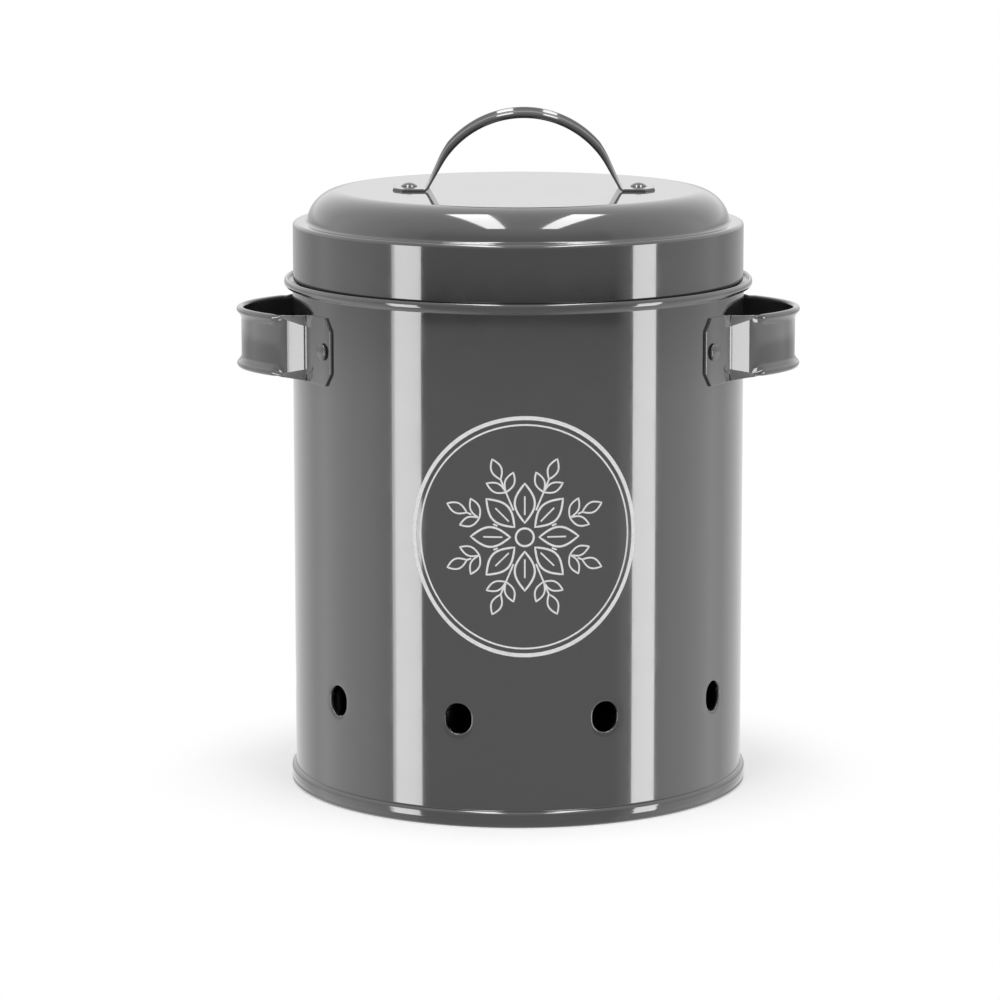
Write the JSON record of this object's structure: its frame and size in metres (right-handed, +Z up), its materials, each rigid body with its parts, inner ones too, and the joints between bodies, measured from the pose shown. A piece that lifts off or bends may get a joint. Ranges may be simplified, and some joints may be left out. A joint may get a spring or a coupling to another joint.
{
  "type": "storage canister",
  "caption": "Round lidded canister of painted sheet steel with air vents, two riveted side handles and a lift-off lid with a strap grip.",
  "frame": {"origin": "centre of the base on the surface that the canister stands on", "axes": "+Z up, front towards -Y, the side handles along X"},
  "size_m": [0.17, 0.1414, 0.204],
  "materials": {
    "painted_steel": "gloss stove enamel",
    "painted_rivet": "gloss stove enamel",
    "white_print": "screen-printed ink"
  },
  "bodies": {
    "canister": {"body_shell": "painted_steel", "base_pan": "painted_steel", "side_handle_left": "painted_steel", "side_handle_right": "painted_steel", "side_rivet_left_front": "painted_rivet", "side_rivet_left_back": "painted_rivet", "side_rivet_right_front": "painted_rivet", "side_rivet_right_back": "painted_rivet"},
    "lid": {"lid_shell": "painted_steel", "lid_handle": "painted_steel", "lid_rivet_left": "painted_rivet", "lid_rivet_right": "painted_rivet"}
  },
  "joints": [
    {"name": "lid_lift", "type": "slide", "parent": "canister", "child": "lid", "axis": [0, 0, 1], "range_m": [0, 0.08]}
  ]
}
